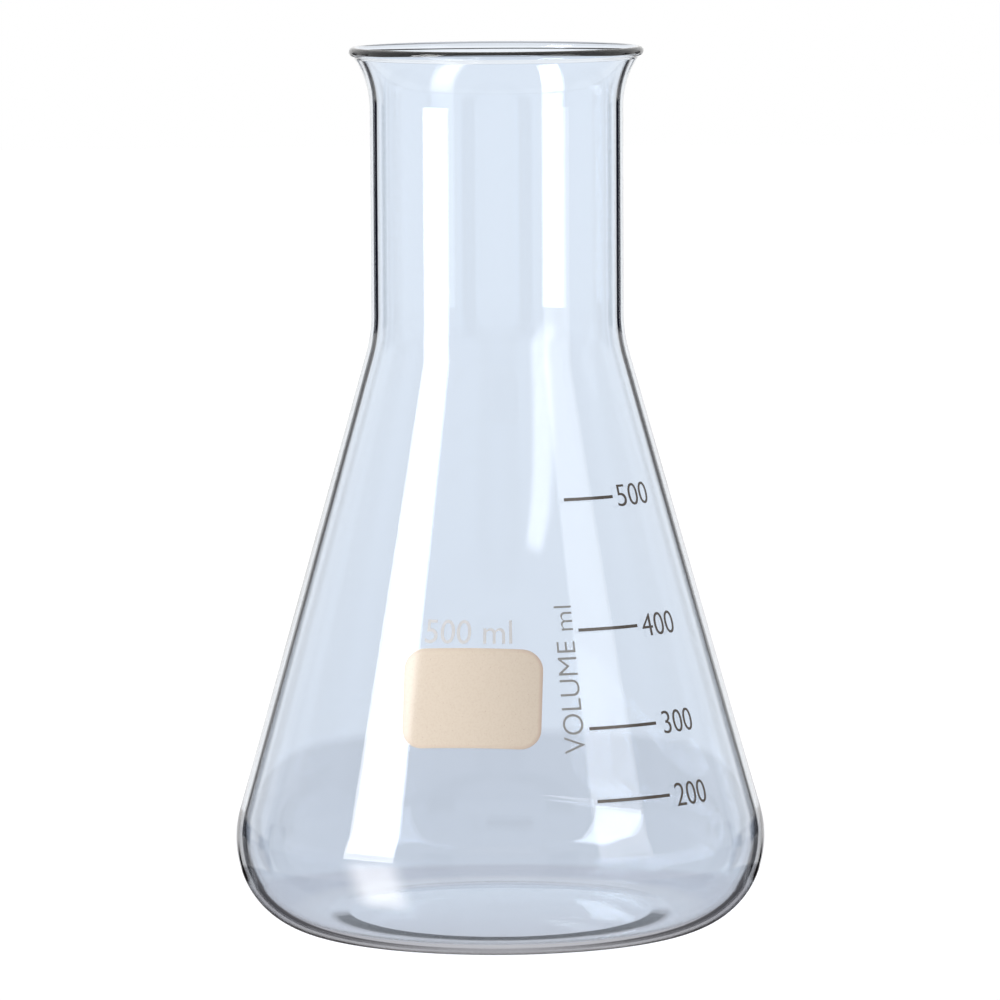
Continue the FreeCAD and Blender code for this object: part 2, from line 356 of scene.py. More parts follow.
@dataclass(frozen=True)
class FiredEnamel:
    """Enamel that was screened on and fired, with its grain, pinholes and darker edge.

    Attributes:
        name: the material's name.
        colour: the enamel's colour.
        grain_colour: the colour of its darker grain.
        edge_colour: the colour of its darker edge.
        roughness: its roughness between the grains.
        grain_roughness: how much the grain adds to that.
        grain_from: the share of the grain from which its colour starts.
        grain_to: the share of the grain at which its colour is whole.
        grain_depth: the depth of its grain in millimetres.
        uses_edge: whether the piece carries the attribute that tells how dark its edge is.
    """

    name: str
    colour: tuple[float, float, float, float]
    grain_colour: tuple[float, float, float, float]
    edge_colour: tuple[float, float, float, float]
    roughness: float = 0.075
    grain_roughness: float = 0.07
    grain_from: float = 0.42
    grain_to: float = 0.70
    grain_depth: float = 0.015
    uses_edge: bool = False

    def make(self) -> bpy.types.Material:
        """Builds the finish.

        Returns:
            The material.
        """
        material, bench, shader = new_material(self.name)
        grain = bench.put("ShaderNodeGroup", node_tree=FiredGrain().make())
        worn = bench.smooth_step(grain.outputs["Grain"], self.grain_from, self.grain_to)
        colour = bench.blend(worn, self.colour, self.grain_colour)
        colour = bench.blend(grain.outputs["Pinholes"], colour, self.edge_colour)
        if self.uses_edge:
            edge = bench.put("ShaderNodeAttribute", attribute_name=EDGE_ATTRIBUTE)
            colour = bench.blend(edge.outputs["Fac"], colour, self.edge_colour)
        roughness = bench.math("MULTIPLY_ADD", grain.outputs["Grain"], self.grain_roughness, self.roughness)
        bump_inputs = {"Height": grain.outputs["Height"], "Strength": 0.6, "Distance": self.grain_depth * MM}
        bump = bench.put("ShaderNodeBump", bump_inputs)
        joins = (("Base Color", colour), ("Roughness", roughness), ("Normal", bump.outputs[0]))
        for name, socket in joins:
            bench.tree.links.new(socket, shader.inputs[name])
        shader.inputs["IOR"].default_value = 1.5
        bench.put("ShaderNodeOutputMaterial", {"Surface": shader.outputs[0]})
        return material


# The glass


def angle_of(way: np.ndarray) -> float:
    """Gives the angle of a direction in the section, in degrees."""
    return math.degrees(math.atan2(way[1], way[0]))


@dataclass(frozen=True)
class Arc:
    """One arc of the wall's section, in millimetres and degrees.

    An arc whose angle grows bulges out of the glass, and one whose angle shrinks is hollow.
    """

    centre: tuple[float, float]
    radius: float
    start: float
    end: float
    steps: int

    def rows(self) -> np.ndarray:
        """Samples the arc.

        A point is the centre plus the radius times the cosine and sine of its angle, and its
        normal is that direction, turned round where the arc is hollow.

        Returns:
            One row per point: radius, height, and the normal's two parts.
        """
        angle = np.radians(np.linspace(self.start, self.end, self.steps + 1))
        way = np.stack([np.cos(angle), np.sin(angle)], axis=1)
        points = np.array(self.centre) + self.radius * way
        return np.hstack([points, way * np.sign(self.end - self.start)])


@dataclass(frozen=True)
class FlaskWall:
    """The blown glass wall, turned round the upright axis.

    Attributes:
        segments: how many equal steps a turn has.
        run_step: how far apart the rows on a straight run are, at most about.
        touching: the ends of two arcs that are nearer than this are one point.
    """

    height: float = 175.0
    body_diameter: float = 105.0
    neck_diameter: float = 50.0
    cone_half_angle: float = 15.8
    heel_radius: float = 17.0
    belly_radius: float = 21.0
    belly_height: float = 18.3
    shoulder_radius: float = 28.0
    flare_radius: float = 18.0
    flare_depth: float = 12.0
    bead_radius: float = 0.95
    bead_fillet: float = 1.6
    side_wall: float = 1.5
    heel_wall: float = 1.9
    base_wall: float = 2.4
    foot_ring_width: float = 5.0
    foot_fillet: float = 8.0
    punt_height: float = 1.5
    segments: int = 400
    run_step: float = 7.0
    touching: float = 1e-6

    def cone_normal(self) -> np.ndarray:
        """Gives the outward direction of the cone in its section."""
        angle = math.radians(self.cone_half_angle)
        return np.array([math.cos(angle), math.sin(angle)])

    def belly_centre(self) -> np.ndarray:
        """Gives the centre of the belly's arc."""
        return np.array([self.body_diameter / 2 - self.belly_radius, self.belly_height])

    def heel_centre(self) -> np.ndarray:
        """Gives the heel's centre: on its radius above the table, and touching the belly's arc."""
        drop = self.belly_height - self.heel_radius
        aside = math.sqrt((self.belly_radius - self.heel_radius) ** 2 - drop**2)
        return np.array([self.belly_centre()[0] + aside, self.heel_radius])

    def cone_radius(self, height: np.ndarray) -> np.ndarray:
        """Gives the cone's outer radius at a height.

        The cone touches the belly's arc, so its normal form is n . p = n . belly + belly radius.

        Args:
            height: heights on the cone in millimetres.

        Returns:
            The radius at each height.
        """
        normal = self.cone_normal()
        reach = normal @ self.belly_centre() + self.belly_radius
        return (reach - normal[1] * height) / normal[0]

    def outer_arcs(self) -> list[Arc]:
        """Gives the arcs from the middle of the base up the outside to the rim's inner edge."""
        normal = self.cone_normal()
        slope = self.cone_half_angle
        heel = self.heel_centre()
        belly = self.belly_centre()
        foot = np.array([heel[0] - self.foot_ring_width, self.foot_fillet])
        rise = self.foot_fillet - self.punt_height
        dome_radius = (foot[0] ** 2 + rise**2 - self.foot_fillet**2) / (2 * self.punt_height)
        dome = np.array([0.0, self.punt_height - dome_radius])
        dome_end = angle_of(foot - dome)
        heel_end = angle_of(heel - belly)
        shoulder_aside = self.neck_diameter / 2 + self.shoulder_radius
        reach = normal @ belly + self.belly_radius + self.shoulder_radius
        shoulder = np.array([shoulder_aside, (reach - normal[0] * shoulder_aside) / normal[1]])
        flare, root, bead = self.rim_centres()
        root_start = angle_of(root - flare)
        root_end = angle_of(bead - root)
        bead_end = angle_of(bead - flare)
        return [
            Arc(tuple(dome), dome_radius, 90.0, dome_end, 8),
            Arc(tuple(foot), self.foot_fillet, dome_end - 180.0, -90.0, 5),
            Arc(tuple(heel), self.heel_radius, -90.0, heel_end, 26),
            Arc(tuple(belly), self.belly_radius, heel_end, slope, 14),
            Arc(tuple(shoulder), self.shoulder_radius, 180.0 + slope, 180.0, 9),
            Arc(tuple(flare), self.flare_radius, 180.0, root_start, 12),
            Arc(tuple(root), self.bead_fillet, root_start, root_end, 7),
            Arc(tuple(bead), self.bead_radius, root_end - 180.0, bead_end, 30),
            Arc(tuple(flare), self.flare_radius + self.side_wall, bead_end, 180.0, 14),
            Arc(tuple(shoulder), self.shoulder_radius + self.side_wall, 180.0, 180.0 + slope, 9),
        ]

    def rim_centres(self) -> tuple[np.ndarray, np.ndarray, np.ndarray]:
        """Finds the centres of the flare, of the fillet under the bead, and of the bead.

        The bead touches the flare's inner arc from inside the glass, and the fillet touches
        both the flare's outer arc and the bead.

        Returns:
            The three centres.
        """
        aside = self.neck_diameter / 2 + self.flare_radius
        flare = np.array([aside, self.height - self.flare_depth])
        reach = self.flare_radius + self.side_wall - self.bead_radius
        rise = self.flare_depth - self.bead_radius
        bead = flare + np.array([-math.sqrt(reach**2 - rise**2), rise])
        near = self.flare_radius - self.bead_fillet
        touch = self.bead_radius + self.bead_fillet
        along = (near**2 - touch**2 + reach**2) / (2 * reach)
        off = math.sqrt(near**2 - along**2)
        way = (bead - flare) / reach
        root = flare + along * way + off * np.array([-way[1], way[0]])
        return flare, root, bead

    def inner_arcs(self) -> list[Arc]:
        """Gives the arcs from the foot of the inner cone to the middle of the cavity's floor.

        The inner heel keeps the outer heel's centre, and the inner belly touches both it and
        the inner cone.
        """
        normal = self.cone_normal()
        heel = self.heel_centre()
        heel_radius = self.heel_radius - self.heel_wall
        belly_radius = self.belly_radius - self.side_wall
        reach = normal @ self.belly_centre() + self.belly_radius - self.side_wall - belly_radius
        apart = belly_radius - heel_radius
        behind = normal @ heel - reach
        aside = math.sqrt(apart**2 - behind**2)
        belly = heel - behind * normal + aside * np.array([-normal[1], normal[0]])
        belly_end = angle_of(heel - belly)
        top = self.punt_height + self.base_wall
        rise = self.heel_radius - top
        dome_radius = (heel[0] ** 2 + rise**2 - heel_radius**2) / (2 * (heel_radius - rise))
        dome = np.array([0.0, top - dome_radius])
        dome_start = angle_of(heel - dome)
        return [
            Arc(tuple(belly), belly_radius, self.cone_half_angle, belly_end, 16),
            Arc(tuple(heel), heel_radius, belly_end, dome_start - 180.0, 26),
            Arc(tuple(dome), dome_radius, dome_start, 90.0, 8),
        ]

    def section(self) -> np.ndarray:
        """Samples the whole section, with rows along its straight runs.

        Returns:
            One row per point: radius, height, and the normal's two parts.
        """
        parts = [arc.rows() for arc in self.outer_arcs() + self.inner_arcs()]
        rows = [parts[0]]
        for part in parts[1:]:
            start, end = rows[-1][-1], part[0]
            length = np.linalg.norm(end[:2] - start[:2])
            count = int(length // self.run_step)
            share = np.linspace(0.0, 1.0, count + 2)[1:-1, None]
            rows.append(start + share * (end - start))
            rows.append(part if length > self.touching else part[1:])
        return np.vstack([row for row in rows if len(row)])

    def patch(self) -> Patch:
        """Turns the section round the axis.

        A vertex is (radius cos a, radius sin a, height) for each row of the section and each
        of the equal steps of the angle a. The two ends on the axis are single vertices that
        fans of triangles join to the nearest ring.

        Returns:
            The closed surface, with exact normals.
        """
        rows = self.section()
        ring = rows[1:-1]
        angle = np.arange(self.segments) * 2 * math.pi / self.segments
        turn = np.stack([np.cos(angle), np.sin(angle)], axis=1)
        points = np.empty((len(ring), self.segments, 3))
        normals = np.empty_like(points)
        points[..., :2] = ring[:, None, :1] * turn
        points[..., 2] = ring[:, None, 1]
        normals[..., :2] = ring[:, None, 2:3] * turn
        normals[..., 2] = ring[:, None, 3]
        number = np.arange(len(ring) * self.segments).reshape(len(ring), self.segments)
        after = np.roll(number, -1, axis=1)
        quads = np.stack([number[:-1], after[:-1], after[1:], number[1:]], axis=-1).reshape(-1, 4)
        bottom = np.full(self.segments, number.size)
        top = bottom + 1
        fans = [
            np.stack([bottom, after[0], number[0]], axis=1),
            np.stack([top, number[-1], after[-1]], axis=1),
        ]
        ends = np.array([[0.0, 0.0, rows[0, 1]], [0.0, 0.0, rows[-1, 1]]])
        end_normals = np.array([[0.0, 0.0, -1.0], [0.0, 0.0, 1.0]])
        return Patch(
            np.vstack([points.reshape(-1, 3), ends]),
            quads,
            np.vstack(fans),
            np.vstack([normals.reshape(-1, 3), end_normals]),
        )

    def build(self) -> bpy.types.Object:
        """Makes the glass body."""
        mesh = self.patch().mesh("glass_body")
        return add_piece("glass_body", mesh, ClearGlass().make(), Slot.GLASS, "flask_body")


# The prints


@dataclass(frozen=True)
class PrintedCone:
    """Lays flat prints on the cone.

    Attributes:
        wall: the glass that carries them.
        gap: how far the back of a print stays off the glass, so that the two never cross.
        thickness: the height of a print's face above the glass.
    """

    wall: FlaskWall
    gap: float = 0.015
    thickness: float = 0.1

    def wrap(self, bearing: np.ndarray, height: np.ndarray, lift: np.ndarray) -> np.ndarray:
        """Places points on the cone.

        The radius is the cone's own radius at that height plus the lift, taken level, and the
        angle is the bearing counted from the front.

        Args:
            bearing: degrees to the right of the front.
            height: millimetres above the table.
            lift: millimetres off the glass, square to it.

        Returns:
            One row of three coordinates per point.
        """
        radius = self.wall.cone_radius(height) + lift / self.wall.cone_normal()[0]
        angle = np.radians(FRONT_ANGLE + bearing)
        return np.stack([radius * np.cos(angle), radius * np.sin(angle), height], axis=-1)

    def strike(self, across: np.ndarray, along: np.ndarray, azimuth: float,
               axis_height: float) -> tuple[np.ndarray, np.ndarray]:
        """Carries the places of a flat card, held square to the cone, straight onto the cone.

        The card's middle line leaves the flask's axis at the axis height and meets the cone at
        a right angle. A place lies at a forward distance f, level and in the azimuth's
        direction, at the height axis height + f tan s + along / cos s, with s the cone's half
        angle. It is on the cone where cos s times its radius, the root of f squared plus
        across squared, and sin s times its height add up to the cone's reach, which is a
        quadratic equation for f.

        Args:
            across: millimetres to the right of the card's middle.
            along: millimetres above the card's middle, up the slope.
            azimuth: the bearing of the card's middle.
            axis_height: where the card's middle line leaves the flask's axis.

        Returns:
            The bearings and the heights of the places on the cone.
        """
        cosine, sine = self.wall.cone_normal()
        level = cosine * self.wall.cone_radius(np.array(0.0))
        left = level - sine * axis_height - along * sine / cosine
        tilt = sine**2 / cosine
        square = cosine**2 - tilt**2
        root = np.sqrt((left * tilt) ** 2 + square * (left**2 - (cosine * across) ** 2))
        forward = (root - left * tilt) / square
        height = axis_height + forward * sine / cosine + along / cosine
        return azimuth + np.degrees(np.arctan2(across, forward)), height

    def slab(self, bearing: np.ndarray, height: np.ndarray) -> Patch:
        """Makes a thin closed plate from a grid of places on the cone.

        Its front and back are the grid at two lifts, and a band of faces joins their edges.

        Args:
            bearing: a grid of bearings, from left to right along each row.
            height: the grid of heights, growing from row to row.

        Returns:
            The plate.
        """
        rows, columns = bearing.shape
        back = self.wrap(bearing, height, np.full_like(height, self.gap))
        front = self.wrap(bearing, height, np.full_like(height, self.thickness))
        number = np.arange(rows * columns).reshape(rows, columns)
        corners = [number[:-1, :-1], number[:-1, 1:], number[1:, 1:], number[1:, :-1]]
        face = np.stack(corners, axis=-1).reshape(-1, 4)
        edge = np.concatenate([number[0, :-1], number[:-1, -1], number[-1, :0:-1], number[:0:-1, 0]])
        after = np.roll(edge, -1)
        shift = number.size
        band = np.stack([edge, after, after + shift, edge + shift], axis=1)
        points = np.vstack([back.reshape(-1, 3), front.reshape(-1, 3)])
        quads = np.vstack([face[:, ::-1], face + shift, band])
        return Patch(points, quads, np.empty((0, 3), dtype=int))


@dataclass(frozen=True)
class MarkingField:
    """The beige field to write on, a rounded rectangle fired onto the cone.

    Attributes:
        cone: the cone that carries it.
        axis_height: where its middle line, square to the cone, leaves the flask's axis.
        azimuth: the bearing of its middle.
        width: how wide it is.
        height: how high it is, up the slope.
        corner: the radius of its corners.
        columns: the places in a row.
        corner_rows: the rows of a corner.
        plain_rows: the rows between the corners.
        edge_width: how far in its darker edge reaches.
        plain_edge: how dark that edge is on the left part of the field.
        right_darkening_start: the share of its width from which the edge grows darker towards the right.
    """

    cone: PrintedCone
    axis_height: float = 38.8
    azimuth: float = -7.1
    width: float = 27.0
    height: float = 19.5
    corner: float = 4.0
    columns: int = 120
    corner_rows: int = 12
    plain_rows: int = 20
    edge_width: float = 0.8
    plain_edge: float = 0.25
    right_darkening_start: float = 0.72

    def grid(self) -> tuple[np.ndarray, np.ndarray, np.ndarray]:
        """Spreads the rounded rectangle's places.

        At an angle t of its corners a row lies at the corner's centre plus corner times
        sin t, and it is shorter at each end by corner times 1 - cos t. Columns crowd towards
        both ends of a row.

        Its edge grows darker towards the right side, and is darkest there.

        Returns:
            The bearings, the heights, and how dark the edge is at each place, from 0 to 1.
        """
        turn = np.linspace(0.0, math.pi / 2, self.corner_rows + 1)
        half = self.height / 2
        upper = half - self.corner + self.corner * np.sin(turn)
        plain = np.linspace(-(half - self.corner), half - self.corner, self.plain_rows)[1:-1]
        across = np.concatenate([-upper[::-1], plain, upper])
        inset = self.corner * (1 - np.cos(turn))
        inset = np.concatenate([inset[::-1], np.zeros(len(plain)), inset])
        share = (1 - np.cos(np.linspace(0.0, math.pi, self.columns))) / 2
        places = inset[:, None] + share * (self.width - 2 * inset)[:, None]
        along = np.repeat(across[:, None], self.columns, axis=1)
        bearings, heights = self.cone.strike(places - self.width / 2, along, self.azimuth, self.axis_height)
        side = np.minimum(places, self.width - places)
        end = half - np.abs(along)
        corner_x = np.maximum(self.corner - side, 0.0)
        corner_y = np.maximum(self.corner - end, 0.0)
        depth = np.minimum(np.minimum(side, end), self.corner)
        rounded = self.corner - np.hypot(corner_x, corner_y)
        depth = np.where((corner_x > 0) & (corner_y > 0), rounded, depth)
        right_darkening = np.clip((places / self.width - self.right_darkening_start) / (1 - self.right_darkening_start), 0.0, 1.0)
        edge = np.clip(1 - depth / self.edge_width, 0.0, 1.0)
        return bearings, heights, edge * (self.plain_edge + (1 - self.plain_edge) * right_darkening)

    def build(self) -> bpy.types.Object:
        """Makes the field."""
        bearings, heights, edge = self.grid()
        mesh = self.cone.slab(bearings, heights).mesh("writing_field")
        attribute = mesh.attributes.new(EDGE_ATTRIBUTE, "FLOAT", "POINT")
        attribute.data.foreach_set("value", np.tile(edge.ravel(), 2).astype(np.float32))
        finish = FiredEnamel(
            "beige_fired_enamel",
            (0.755, 0.650, 0.535, 1.0),
            (0.725, 0.615, 0.500, 1.0),
            (0.590, 0.440, 0.360, 1.0),
            uses_edge=True,
        )
        mesh.shade_flat()
        return add_piece("writing_field", mesh, finish.make(), Slot.BEIGE, "marking_field")


@dataclass(frozen=True)
class ScaleLines:
    """The four short level lines of the scale."""

    cone: PrintedCone
    heights: tuple[float, ...] = (31.3, 45.0, 63.6, 88.3)
    start: float = 22.2
    sweep: float = 19.2
    width: float = 0.6
    columns: int = 48

    def build(self, finish: bpy.types.Material) -> bpy.types.Object:
        """Makes the lines as one piece.

        Args:
            finish: their enamel.

        Returns:
            The piece.
        """
        share = np.linspace(0.0, 1.0, self.columns)
        bearings = np.tile(self.start + share * self.sweep, (3, 1))
        across = np.array([-0.5, 0.0, 0.5])[:, None] * self.width
        patches = [self.cone.slab(bearings, level + across + 0 * bearings) for level in self.heights]
        count = len(patches[0].points)
        points = np.vstack([patch.points for patch in patches])
        quads = np.vstack([patch.quads + order * count for order, patch in enumerate(patches)])
        mesh = Patch(points, quads, np.empty((0, 3), dtype=int)).mesh("volume_lines")
        mesh.shade_flat()
        return add_piece("volume_lines", mesh, finish, Slot.DARK, "scale_lines")


@dataclass(frozen=True)
class Caption:
    """One line of lettering and the box on the cone that it fills.

    Attributes:
        words: the characters.
        left: the bearing of the box's left side.
        right: the bearing of its right side.
        bottom: the height of its bottom.
        top: the height of its top.
        upright: whether the line reads upwards.
        weight: how much its strokes are thickened, in parts of the letter size.
    """

    words: str
    left: float
    right: float
    bottom: float
    top: float
    upright: bool = False
    weight: float = 0.0


@dataclass(frozen=True)
class Lettering:
    """Letters in one enamel, laid round the cone."""

    cone: PrintedCone
    name: str
    captions: tuple[Caption, ...]
    cuts: int = 26
    upright_cuts: int = 8
    extrusion: float = 0.05
    smoothness: int = 6
    merge_distance: float = 1e-4

    def glyphs(self, caption: Caption) -> bmesh.types.BMesh:
        """Makes one caption as a closed flat relief, cut into narrow strips.

        Text is set, made a mesh, merged and triangulated. Level cuts across the way that it
        bends let it follow the cone.

        Args:
            caption: the line to set.

        Returns:
            The relief in a box from 0 to 1 along, across and in depth.
        """
        curve = bpy.data.curves.new("letters", "FONT")
        curve.body = caption.words
        curve.extrude = self.extrusion
        curve.offset = caption.weight
        curve.resolution_u = self.smoothness
        setting = add_object("letters", curve)
        bpy.context.view_layer.update()
        solved = setting.evaluated_get(bpy.context.evaluated_depsgraph_get())
        flat = bpy.data.meshes.new_from_object(solved)
        bpy.data.objects.remove(setting)
        bpy.data.curves.remove(curve)
        points = np.empty(len(flat.vertices) * 3, np.float32)
        flat.vertices.foreach_get("co", points)
        points = points.reshape(-1, 3)
        low = points.min(axis=0)
        points = (points - low) / (points.max(axis=0) - low)
        flat.vertices.foreach_set("co", points.ravel())
        relief = bmesh.new()
        relief.from_mesh(flat)
        bpy.data.meshes.remove(flat)
        bmesh.ops.remove_doubles(relief, verts=relief.verts, dist=self.merge_distance)
        bmesh.ops.triangulate(relief, faces=relief.faces)
        bending = (0.0, 1.0, 0.0) if caption.upright else (1.0, 0.0, 0.0)
        cuts = self.upright_cuts if caption.upright else self.cuts
        for share in np.linspace(0.0, 1.0, cuts + 1)[1:-1]:
            geometry = relief.verts[:] + relief.edges[:] + relief.faces[:]
            at = tuple(share * part for part in bending)
            bmesh.ops.bisect_plane(relief, geom=geometry, plane_co=at, plane_no=bending)
        return relief

    def lay(self, caption: Caption) -> bpy.types.Mesh:
        """Wraps one caption on the cone.

        Along and across become bearing and height, or height and bearing where the line
        reads upwards, and depth becomes the lift between the print's back and its face.

        Args:
            caption: the line to lay.

        Returns:
            Its mesh in metres.
        """
        relief = self.glyphs(caption)
        mesh = bpy.data.meshes.new(self.name)
        relief.to_mesh(mesh)
        relief.free()
        points = np.empty(len(mesh.vertices) * 3, np.float32)
        mesh.vertices.foreach_get("co", points)
        along, across, depth = points.reshape(-1, 3).T.astype(float)
        if caption.upright:
            along, across = 1.0 - across, along
        bearing = caption.left + along * (caption.right - caption.left)
        height = caption.bottom + across * (caption.top - caption.bottom)
        lift = self.cone.gap + depth * (self.cone.thickness - self.cone.gap)
        placed = self.cone.wrap(bearing, height, lift) * MM
        mesh.vertices.foreach_set("co", placed.astype(np.float32).ravel())
        return mesh

    def build(self, finish: bpy.types.Material, slot: Slot) -> bpy.types.Object:
        """Makes the lettering as one piece.

        Args:
            finish: its enamel.
            slot: the slot that the enamel stands for.

        Returns:
            The piece.
        """
        whole = bmesh.new()
        for caption in self.captions:
            part = self.lay(caption)
            whole.from_mesh(part)
            bpy.data.meshes.remove(part)
        bmesh.ops.recalc_face_normals(whole, faces=whole.faces)
        mesh = bpy.data.meshes.new(self.name)
        whole.to_mesh(mesh)
        whole.free()
        return add_piece(self.name, mesh, finish, slot)


# The studio


@dataclass(frozen=True)
class Viewpoint:
    """The camera, in front of the flask and a little above it."""

    distance: float = 1464.0
    height: float = 231.0
    aside: float = 0.28
    lens: float = 267.3
    sensor: float = 36.0
    pitch: float = 5.686
    roll: float = -0.311

    def build(self) -> None:
        """Makes the camera and gives it to the scene."""
        data = bpy.data.cameras.new("camera")
        data.lens = self.lens
        data.sensor_width = self.sensor
        data.clip_end = 20.0
        camera = add_object("camera", data)
        place = Matrix.Translation((self.aside * MM, -self.distance * MM, self.height * MM))
        tilt = Matrix.Rotation(math.radians(90.0 - self.pitch), 4, "X")
        camera.matrix_world = place @ tilt @ Matrix.Rotation(math.radians(self.roll), 4, "Z")
        bpy.context.scene.camera = camera


@dataclass(frozen=True)
class SoftBox:
    """An upright softbox that faces the flask.

    Attributes:
        name: the lamp's name.
        bearing: where it stands, in degrees to the right of the front.
        spread: how many degrees wide it looks from the flask.
        bottom: the height of its bottom.
        top: the height of its top.
        radiance: how bright its face is, where 1 is white.
        distance: how far from the flask it stands.
    """

    name: str
    bearing: float
    spread: float
    bottom: float
    top: float
    radiance: float
    distance: float = 1200.0

    def build(self) -> None:
        """Makes the lamp.

        Its power is its radiance times pi times its area in square metres.
        """
        width = 2 * self.distance * math.tan(math.radians(self.spread / 2)) * MM
        height = (self.top - self.bottom) * MM
        data = bpy.data.lights.new(self.name, "AREA")
        data.shape = "RECTANGLE"
        data.size = width
        data.size_y = height
        data.energy = self.radiance * math.pi * width * height
        lamp = add_object(self.name, data)
        lamp.visible_camera = False
        turn = math.radians(self.bearing)
        reach = self.distance * MM
        middle = (self.top + self.bottom) / 2 * MM
        place = Matrix.Translation((reach * math.sin(turn), -reach * math.cos(turn), middle))
        lamp.matrix_world = place @ Matrix.Rotation(turn, 4, "Z") @ Matrix.Rotation(math.pi / 2, 4, "X")


@dataclass(frozen=True)
class Card:
    """One dark card's place, in degrees as seen from the flask.

    Attributes:
        inner: where it starts, away from straight behind.
        outer: where it ends.
        lowest: where it starts upwards.
        highest: where it ends upwards.
        share: how dark it is, where 1 hides all behind it.
        end: half the width of its soft lower and upper ends.
        soft: half the width of its soft sides.
    """

    inner: float
    outer: float
    lowest: float
    highest: float
    share: float = 1.0
    end: float = 1.5
    soft: float = 1.5

    def mask(self, bench: NodeBench, away: bpy.types.NodeSocket,
             rise: bpy.types.NodeSocket) -> bpy.types.NodeSocket:
        """Places the card's mask.

        Args:
            bench: the bench of the group.
            away: how many degrees the direction lies away from straight behind.
            rise: how many degrees it rises.

        Returns:
            The mask, up to the card's share.
        """
        past = bench.smooth_step(away, self.inner - self.soft, self.inner + self.soft)
        before = bench.smooth_step(away, self.outer + self.soft, self.outer - self.soft)
        above = bench.smooth_step(rise, self.lowest - self.end, self.lowest + self.end)
        below = bench.smooth_step(rise, self.highest + self.end, self.highest - self.end)
        whole = bench.math("MULTIPLY", bench.math("MULTIPLY", past, before),
                           bench.math("MULTIPLY", above, below))
        return bench.math("MULTIPLY", whole, self.share)


@dataclass(frozen=True)
class DarkCards:
    """Masks of the dark cards that stand round the flask and draw its outline.

    A clear wall bends a ray aside most where it just touches the inner wall, so dark cards
    that far aside draw a thin dark line inside the outline, as in a studio for glassware.
    The neck, the cone and the heel each send their rays to a band of their own.

    Attributes:
        name: the group's name.
        repeat: how many degrees apart the cards stand round the flask.
        level: below this rise a direction's fall counts as well as its bearing.
        through: the card that shows through the wall of neck and cone.
        falling: the card that shows through the heel and the foot.
        mirrored: the cards that show in the gloss of neck and cone.
        mirrored_falling: the cards that show in the gloss of the heel.
        falling_middle: the share of the low cards that is left straight behind.
        middle: how far aside they are whole.
        front_limit: how far aside the cards behind the flask reach.
    """

    name: str = "dark_cards"
    repeat: float = 90.0
    level: float = -7.0
    through: Card = Card(21.0, 34.0, -19.0, 7.0, end=3.0)
    falling: Card = Card(21.5, 34.0, -50.0, -15.0, share=0.85, end=3.0)
    falling_middle: float = 0.45
    middle: float = 12.0
    mirrored: tuple[Card, Card] = (Card(26.0, 40.0, -6.5, -0.5), Card(28.0, 35.0, -0.5, 7.0, share=0.45))
    mirrored_falling: tuple[Card, Card] = (
        Card(28.0, 35.0, -50.0, -5.5, share=0.8),
        Card(12.0, 19.0, -50.0, -9.0),
    )
    front_limit: float = 60.0

    def row(self, bench: NodeBench, cards: tuple[Card, Card], away: bpy.types.NodeSocket,
            rise: bpy.types.NodeSocket) -> bpy.types.NodeSocket:
        """Places the mask of two cards together."""
        first, second = (card.mask(bench, away, rise) for card in cards)
        return bench.math("MAXIMUM", first, second)

    def make(self) -> bpy.types.NodeTree:
        """Builds the group once.

        The bearing from the far side is folded to its distance from the nearest multiple of
        the repeat. How far away a direction lies is the root of the squares of that distance
        and of its fall below the level.

        Returns:
            The group, which puts out for a direction the mask of the cards behind the flask,
            the mask of those all round it, the mask of those in its gloss, and how many
            degrees the direction rises.
        """
        found = bpy.data.node_groups.get(self.name)
        if found:
            return found
        group = new_group(self.name, {}, ("Behind", "Around", "Gloss", "Rise"))
        group.interface.new_socket("Direction", in_out="INPUT", socket_type="NodeSocketVector")
        bench = NodeBench(group)
        given = group.nodes["given"].outputs["Direction"]
        parts = bench.put("ShaderNodeSeparateXYZ", {0: given}).outputs
        turn = bench.math("DEGREES", bench.math("ARCTAN2", parts[0], parts[1]))
        folded = bench.math("PINGPONG", turn, self.repeat / 2)
        rise = bench.math("DEGREES", bench.math("ARCSINE", parts[2]))
        fall = bench.math("MAXIMUM", bench.math("SUBTRACT", self.level, rise), 0.0)
        square = bench.math("MULTIPLY_ADD", fall, fall, bench.math("MULTIPLY", folded, folded))
        away = bench.math("SQRT", square)
        near = bench.math("LESS_THAN", bench.math("ABSOLUTE", turn), self.front_limit)
        aside = bench.smooth_step(folded, 0.0, self.middle)
        whole = bench.math("MULTIPLY_ADD", aside, 1.0 - self.falling_middle, self.falling_middle)
        falling = bench.math("MULTIPLY", self.falling.mask(bench, away, rise), whole)
        around = bench.math("MAXIMUM", self.through.mask(bench, away, rise), falling)
        behind = bench.math("MULTIPLY", around, near)
        low_gloss = bench.math("MULTIPLY", self.row(bench, self.mirrored_falling, away, rise), whole)
        gloss = bench.math("MAXIMUM", self.row(bench, self.mirrored, away, rise), low_gloss)
        gloss = bench.math("MULTIPLY", gloss, near)
        return finish_group(group, behind, around, gloss, rise)


